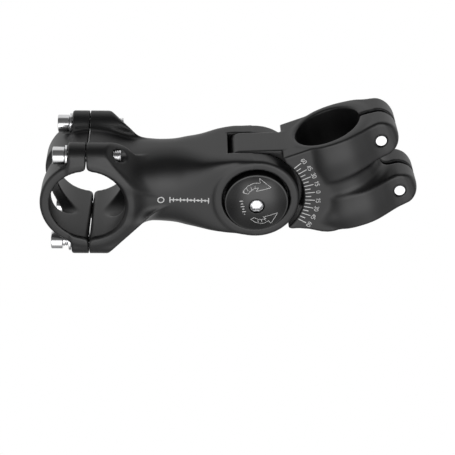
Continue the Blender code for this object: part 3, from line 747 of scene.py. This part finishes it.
def size_strokes():
    """A generic size pictogram: a bar's round section and a dimension line with its divisions."""
    left, right, base = BAR_X + 29.4, BAR_X + 50.9, -2.2
    start, middle, high = left + 5.2, base + 1.35, base + 2.7
    divisions = 11
    circle = [Vector((left + 1.4, middle)) + polar(1.3, 30 * step) for step in range(13)]
    strokes = [circle, ((start, middle), (right, middle)), ((right, base), (right, high)),
               ((start, base), (start, high))]
    for step in range(1, divisions):
        x = start + (right - start) * step / divisions
        tall = 1.0 if step % 2 else 0.55
        strokes.append(((x, middle - tall), (x, middle + tall)))
    return strokes


# ---------------------------------------------------------------- materials
def noise(tree, size_mm, detail):
    coordinates = tree.nodes.new("ShaderNodeTexCoord")
    node = tree.nodes.new("ShaderNodeTexNoise")
    node.inputs["Scale"].default_value = 1 / (size_mm * MM)
    node.inputs["Detail"].default_value = detail
    tree.links.new(coordinates.outputs["Object"], node.inputs["Vector"])
    return node.outputs["Fac"]


def finish(name, color, roughness, metallic=0.0, grain=0.2, bump=0.05, spread=0.04):
    """A surface with fine grain, and slow changes of colour and roughness."""
    material = bpy.data.materials.new(name)
    material.use_nodes = True
    tree = material.node_tree
    shader = tree.nodes["Principled BSDF"]
    shader.inputs["Metallic"].default_value = metallic
    slow, fine = noise(tree, 14, 3), noise(tree, grain, 2)
    tint = tree.nodes.new("ShaderNodeMix")
    tint.data_type = "RGBA"
    tint.inputs["A"].default_value = (*(0.82 * value for value in color), 1)
    tint.inputs["B"].default_value = (*(1.18 * value for value in color), 1)
    tree.links.new(slow, tint.inputs["Factor"])
    tree.links.new(tint.outputs["Result"], shader.inputs["Base Color"])
    both = tree.nodes.new("ShaderNodeMath")
    tree.links.new(slow, both.inputs[0])
    tree.links.new(fine, both.inputs[1])
    rough = tree.nodes.new("ShaderNodeMapRange")
    rough.inputs["From Max"].default_value = 2
    rough.inputs["To Min"].default_value = roughness - spread
    rough.inputs["To Max"].default_value = roughness + spread
    tree.links.new(both.outputs["Value"], rough.inputs["Value"])
    tree.links.new(rough.outputs["Result"], shader.inputs["Roughness"])
    relief = tree.nodes.new("ShaderNodeBump")
    relief.inputs["Strength"].default_value = bump
    relief.inputs["Distance"].default_value = 0.05 * MM
    tree.links.new(fine, relief.inputs["Height"])
    tree.links.new(relief.outputs["Normal"], shader.inputs["Normal"])
    return material


BLACK = finish("black_anodised", (0.012, 0.012, 0.0125), 0.40, bump=0.12)
CAP_BLACK = finish("gloss_black_cap", (0.01, 0.01, 0.0105), 0.23, bump=0.05, grain=0.15)
STEEL = finish("bright_steel", (0.78, 0.78, 0.79), 0.16, 1.0, bump=0.04)
DARK_STEEL = finish("dark_steel", (0.25, 0.25, 0.26), 0.35, 1.0, bump=0.1)
POLYMER = finish("bush_polymer", (0.55, 0.52, 0.45), 0.5, bump=0.08)
PRINT = finish("white_print", (0.62, 0.62, 0.62), 0.55, bump=0.05)
FINISHES = {"black_anodised": BLACK, "gloss_black_cap": CAP_BLACK, "bright_steel": STEEL,
            "dark_steel": DARK_STEEL, "bush_polymer": POLYMER}


def add_castings():
    """Mesh the three castings on a grid with a step of 0.6 mm."""
    step = 0.6
    castings = (
        ("stem_body_skin", stem_body_field, (-71, -21, -28), (19, 21, 28), ARM_TO_ROW, "arm", "stem_body"),
        ("faceplate_skin", faceplate_field, (-92, -21, -28), (-71, 21, 26), ARM_TO_ROW, "faceplate",
         "bar_faceplate"),
        ("steerer_clamp_skin", steerer_clamp_field, (-52, -19, -1), (30, 19, 48), ROW_TO_ROW,
         "steerer_section", "steerer_clamp"),
    )
    pieces = {}
    for name, field, low, high, placing, body, node in castings:
        pieces[node] = cast(name, field, low, high, step, placing, BLACK)
        place(pieces[node], body, node)
    return pieces


def add_marks(castings):
    cap = bpy.data.objects["lock_cap"]
    clamp = castings["steerer_clamp"]
    printed("scale_ticks", tick_strokes(), 0.34, clamp, ROW_TO_ROW, "steerer_section")
    printed("scale_numbers", number_strokes(), 0.22, clamp, ROW_TO_ROW, "steerer_section")
    printed("size_mark", size_strokes(), 0.45, castings["stem_body"], ARM_TO_ROW, "arm")
    printed("cap_arrows", arrow_strokes(), 0.2, cap, ARM_TO_ROW, "arm")
    printed("cap_setting_bars", setting_strokes(), 0.4, cap, ARM_TO_ROW, "arm")


# ---------------------------------------------------------------- studio
def add_camera():
    """A view of the near side from above, worked out in arm-aligned axes about the bar's centre."""
    pitch, yaw, roll = (math.radians(angle) for angle in (CAMERA_PITCH, CAMERA_YAW, CAMERA_ROLL))
    ahead = Vector((math.sin(yaw) * math.cos(pitch), math.cos(yaw) * math.cos(pitch), -math.sin(pitch)))
    level = Vector((math.cos(yaw), -math.sin(yaw), 0))
    upright = level.cross(ahead)
    right = math.cos(roll) * level + math.sin(roll) * upright
    up = math.cos(roll) * upright - math.sin(roll) * level
    eye = right * CAMERA_RIGHT - up * CAMERA_DOWN - ahead * CAMERA_BACK
    turn = Matrix((right, up, -ahead)).transposed().to_4x4()
    camera = bpy.data.objects.new("camera", bpy.data.cameras.new("camera"))
    camera.data.lens, camera.data.sensor_width = LENS, SENSOR_WIDTH
    placed = ARM_TO_ROW @ Matrix.Translation(BAR) @ Matrix.Translation(eye) @ turn
    camera.matrix_world = Matrix.LocRotScale(placed.translation, placed.to_quaternion(), (1, 1, 1))
    camera.data.clip_start, camera.data.clip_end = 0.05, 20
    bpy.context.scene.collection.objects.link(camera)
    bpy.context.scene.camera = camera


def facing(tree, direction, axis):
    """How far a direction points along an axis."""
    node = tree.nodes.new("ShaderNodeVectorMath")
    node.operation = "DOT_PRODUCT"
    node.inputs[1].default_value = axis
    tree.links.new(direction, node.inputs[0])
    return node.outputs["Value"]


def mapped(tree, value, start, end, low, high, curve="SMOOTHSTEP"):
    """Carry a value's range from start to end over to low to high."""
    node = tree.nodes.new("ShaderNodeMapRange")
    node.interpolation_type = curve
    for name, number in (("From Min", start), ("From Max", end), ("To Min", low), ("To Max", high)):
        node.inputs[name].default_value = number
    tree.links.new(value, node.inputs["Value"])
    return node.outputs["Result"]


def combined(tree, operation, first, second):
    """One step of arithmetic on two sockets or plain numbers."""
    node = tree.nodes.new("ShaderNodeMath")
    node.operation = operation
    for socket, value in zip(node.inputs, (first, second)):
        if isinstance(value, float):
            socket.default_value = value
        else:
            tree.links.new(value, socket)
    return node.outputs["Value"]


def blended(tree, share, first, second):
    """The first value where `share` is 0, and the second where it is 1."""
    rest = combined(tree, "SUBTRACT", 1.0, share)
    return combined(tree, "ADD", combined(tree, "MULTIPLY", rest, first),
                    combined(tree, "MULTIPLY", share, second))


def panel_light(tree, up, right):
    """The front panel: a ramp over the height, fading to the sides of its centre."""
    ramp = tree.nodes.new("ShaderNodeValToRGB")
    tree.links.new(mapped(tree, up, -1, 1, 0, 1, "LINEAR"), ramp.inputs["Fac"])
    elements = ramp.color_ramp.elements
    while len(elements) < len(FRONT_PANEL):
        elements.new(0.5)
    for element, (height, level) in zip(elements, FRONT_PANEL):
        element.position = (height + 1) / 2
        element.color = (level, level, level, 1)
    off_centre = combined(tree, "ABSOLUTE", combined(tree, "SUBTRACT", right, PANEL_CENTRE), 0.0)
    fade = mapped(tree, off_centre, PANEL_FLAT, PANEL_EDGE, 1.0, PANEL_SIDES)
    shaped = combined(tree, "MULTIPLY", ramp.outputs["Color"], fade)
    return combined(tree, "MULTIPLY", shaped, PANEL_STRENGTH)


def add_world():
    """Soft studio light: a broad front panel at arm height, dark above it, paler behind."""
    world = bpy.data.worlds.new("studio")
    bpy.context.scene.world = world
    world.use_nodes = True
    tree = world.node_tree
    direction = tree.nodes.new("ShaderNodeTexCoord").outputs["Generated"]
    up = facing(tree, direction, (math.sin(ARM_RAISE), 0, math.cos(ARM_RAISE)))
    right = facing(tree, direction, (math.cos(ARM_RAISE), 0, -math.sin(ARM_RAISE)))
    toward_front = facing(tree, direction, (0, -1, 0))
    share = mapped(tree, toward_front, REAR_END, FRONT_START, 0.0, 1.0)
    light = blended(tree, share, REAR_LEVEL, panel_light(tree, up, right))
    camera_ray = tree.nodes.new("ShaderNodeLightPath").outputs["Is Camera Ray"]
    background = tree.nodes["Background"]
    tree.links.new(blended(tree, camera_ray, light, 1.0), background.inputs["Strength"])
    background.inputs["Color"].default_value = (1, 1, 1, 1)


def add_floor():
    """A plain white floor that casts no light on the stem."""
    reach = FLOOR_REACH
    mesh = bpy.data.meshes.new("floor")
    mesh.from_pydata([(-reach, -reach, 0), (reach, -reach, 0), (reach, reach, 0), (-reach, reach, 0)], [],
                     [(0, 1, 2, 3)])
    floor = bpy.data.objects.new("floor", mesh)
    floor.location.z = CAD_BOX[0].z - FLOOR_DROP
    bpy.context.scene.collection.objects.link(floor)
    material = bpy.data.materials.new("floor")
    material.use_nodes = True
    tree = material.node_tree
    tree.nodes.clear()
    glow = tree.nodes.new("ShaderNodeEmission")
    glow.inputs["Color"].default_value = (1, 1, 1, 1)
    output = tree.nodes.new("ShaderNodeOutputMaterial")
    tree.links.new(glow.outputs["Emission"], output.inputs["Surface"])
    mesh.materials.append(material)
    floor.visible_glossy = False
    floor.visible_diffuse = False


def dress_cad_nodes():
    """Give every CAD node the material of its slot in the record."""
    slots = {row["node"]: row["material_slot"] for row in frame["record"]["subparts"]}
    for name, obj in frame["nodes"].items():
        obj.data.materials.clear()
        obj.data.materials.append(FINISHES[slots[name]])


def main():
    dress_cad_nodes()
    castings = add_castings()
    add_bar_fasteners()
    add_steerer_fasteners()
    add_pivot()
    add_marks(castings)
    add_camera()
    add_world()
    add_floor()
    bpy.context.scene.view_settings.view_transform = "Standard"


main()
